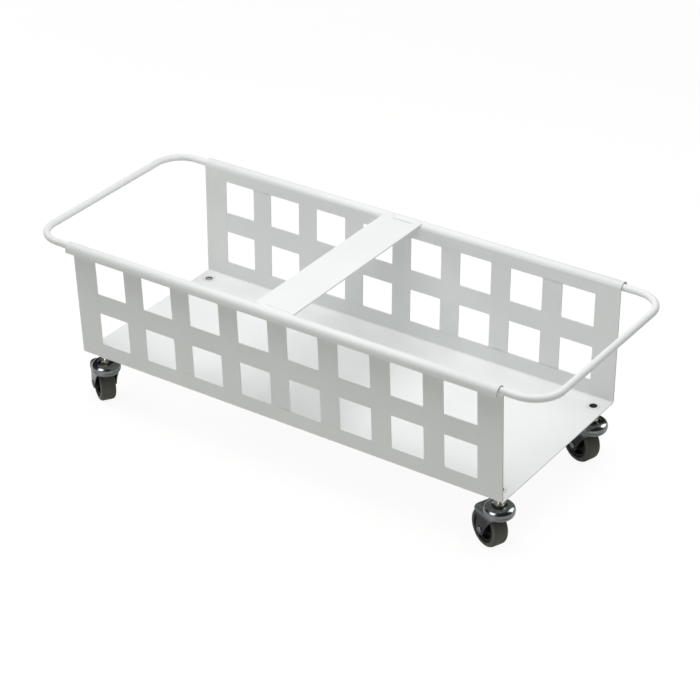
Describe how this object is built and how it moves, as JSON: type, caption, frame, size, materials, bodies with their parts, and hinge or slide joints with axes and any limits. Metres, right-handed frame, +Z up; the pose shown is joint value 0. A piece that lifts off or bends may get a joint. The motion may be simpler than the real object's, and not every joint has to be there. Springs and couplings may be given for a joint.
{
  "type": "container dolly",
  "caption": "Low open-ended tray dolly folded from perforated white sheet, with a rod rim forming end handle loops, a flat cross strap and swivel casters.",
  "frame": {"origin": "on the floor under the middle of the tray", "axes": "+X along the tray towards the right handle loop in the picture, +Y towards the far wall, +Z up"},
  "size_m": [0.7428, 0.2968, 0.2455],
  "materials": {
    "white_powder_coat": "satin white powder coat",
    "bright_plate": "bright zinc plate",
    "plated_steel": "dull zinc plate",
    "ball_steel": "polished steel",
    "black_moulding": "moulded black plastic",
    "grey_rubber": "dark grey rubber"
  },
  "bodies": {
    "tray_frame": {"tray": "white_powder_coat", "rim_rod": "white_powder_coat", "cross_strap": "white_powder_coat", "front_left_bush": "white_powder_coat", "front_left_stem": "plated_steel", "front_left_washer": "plated_steel", "front_left_nut": "plated_steel", "front_left_head_cap": "bright_plate", "front_left_lower_race": "plated_steel", "front_right_bush": "white_powder_coat", "front_right_stem": "plated_steel", "front_right_washer": "plated_steel", "front_right_nut": "plated_steel", "front_right_head_cap": "bright_plate", "front_right_lower_race": "plated_steel", "back_left_bush": "white_powder_coat", "back_left_stem": "plated_steel", "back_left_washer": "plated_steel", "back_left_nut": "plated_steel", "back_left_head_cap": "bright_plate", "back_left_lower_race": "plated_steel", "back_right_bush": "white_powder_coat", "back_right_stem": "plated_steel", "back_right_washer": "plated_steel", "back_right_nut": "plated_steel", "back_right_head_cap": "bright_plate", "back_right_lower_race": "plated_steel"},
    "front_left_swivel_fork": {"front_left_fork": "bright_plate", "front_left_balls": "ball_steel", "front_left_axle": "plated_steel", "front_left_axle_sleeve": "plated_steel"},
    "front_left_wheel": {"front_left_hub": "black_moulding", "front_left_tyre": "grey_rubber"},
    "front_right_swivel_fork": {"front_right_fork": "bright_plate", "front_right_balls": "ball_steel", "front_right_axle": "plated_steel", "front_right_axle_sleeve": "plated_steel"},
    "front_right_wheel": {"front_right_hub": "black_moulding", "front_right_tyre": "grey_rubber"},
    "back_left_swivel_fork": {"back_left_fork": "bright_plate", "back_left_balls": "ball_steel", "back_left_axle": "plated_steel", "back_left_axle_sleeve": "plated_steel"},
    "back_left_wheel": {"back_left_hub": "black_moulding", "back_left_tyre": "grey_rubber"},
    "back_right_swivel_fork": {"back_right_fork": "bright_plate", "back_right_balls": "ball_steel", "back_right_axle": "plated_steel", "back_right_axle_sleeve": "plated_steel"},
    "back_right_wheel": {"back_right_hub": "black_moulding", "back_right_tyre": "grey_rubber"}
  },
  "joints": [
    {"name": "front_left_swivel", "type": "hinge", "parent": "tray_frame", "child": "front_left_swivel_fork", "pos_m": [-0.29325, -0.10853, 0.0556], "axis": [0, 0, 1], "continuous": true},
    {"name": "front_left_roll", "type": "hinge", "parent": "front_left_swivel_fork", "child": "front_left_wheel", "pos_m": [-0.30799, -0.09821, 0.025], "axis": [-0.5736, -0.8192, 0], "continuous": true},
    {"name": "front_right_swivel", "type": "hinge", "parent": "tray_frame", "child": "front_right_swivel_fork", "pos_m": [0.29325, -0.10853, 0.0556], "axis": [0, 0, 1], "continuous": true},
    {"name": "front_right_roll", "type": "hinge", "parent": "front_right_swivel_fork", "child": "front_right_wheel", "pos_m": [0.27668, -0.1015, 0.025], "axis": [-0.3907, -0.9205, 0], "continuous": true},
    {"name": "back_left_swivel", "type": "hinge", "parent": "tray_frame", "child": "back_left_swivel_fork", "pos_m": [-0.29325, 0.10853, 0.0556], "axis": [0, 0, 1], "continuous": true},
    {"name": "back_left_roll", "type": "hinge", "parent": "back_left_swivel_fork", "child": "back_left_wheel", "pos_m": [-0.30914, 0.11698, 0.025], "axis": [-0.4695, -0.8829, 0], "continuous": true},
    {"name": "back_right_swivel", "type": "hinge", "parent": "tray_frame", "child": "back_right_swivel_fork", "pos_m": [0.29325, 0.10853, 0.0556], "axis": [0, 0, 1], "continuous": true},
    {"name": "back_right_roll", "type": "hinge", "parent": "back_right_swivel_fork", "child": "back_right_wheel", "pos_m": [0.27623, 0.11439, 0.025], "axis": [-0.3256, -0.9455, 0], "continuous": true}
  ]
}
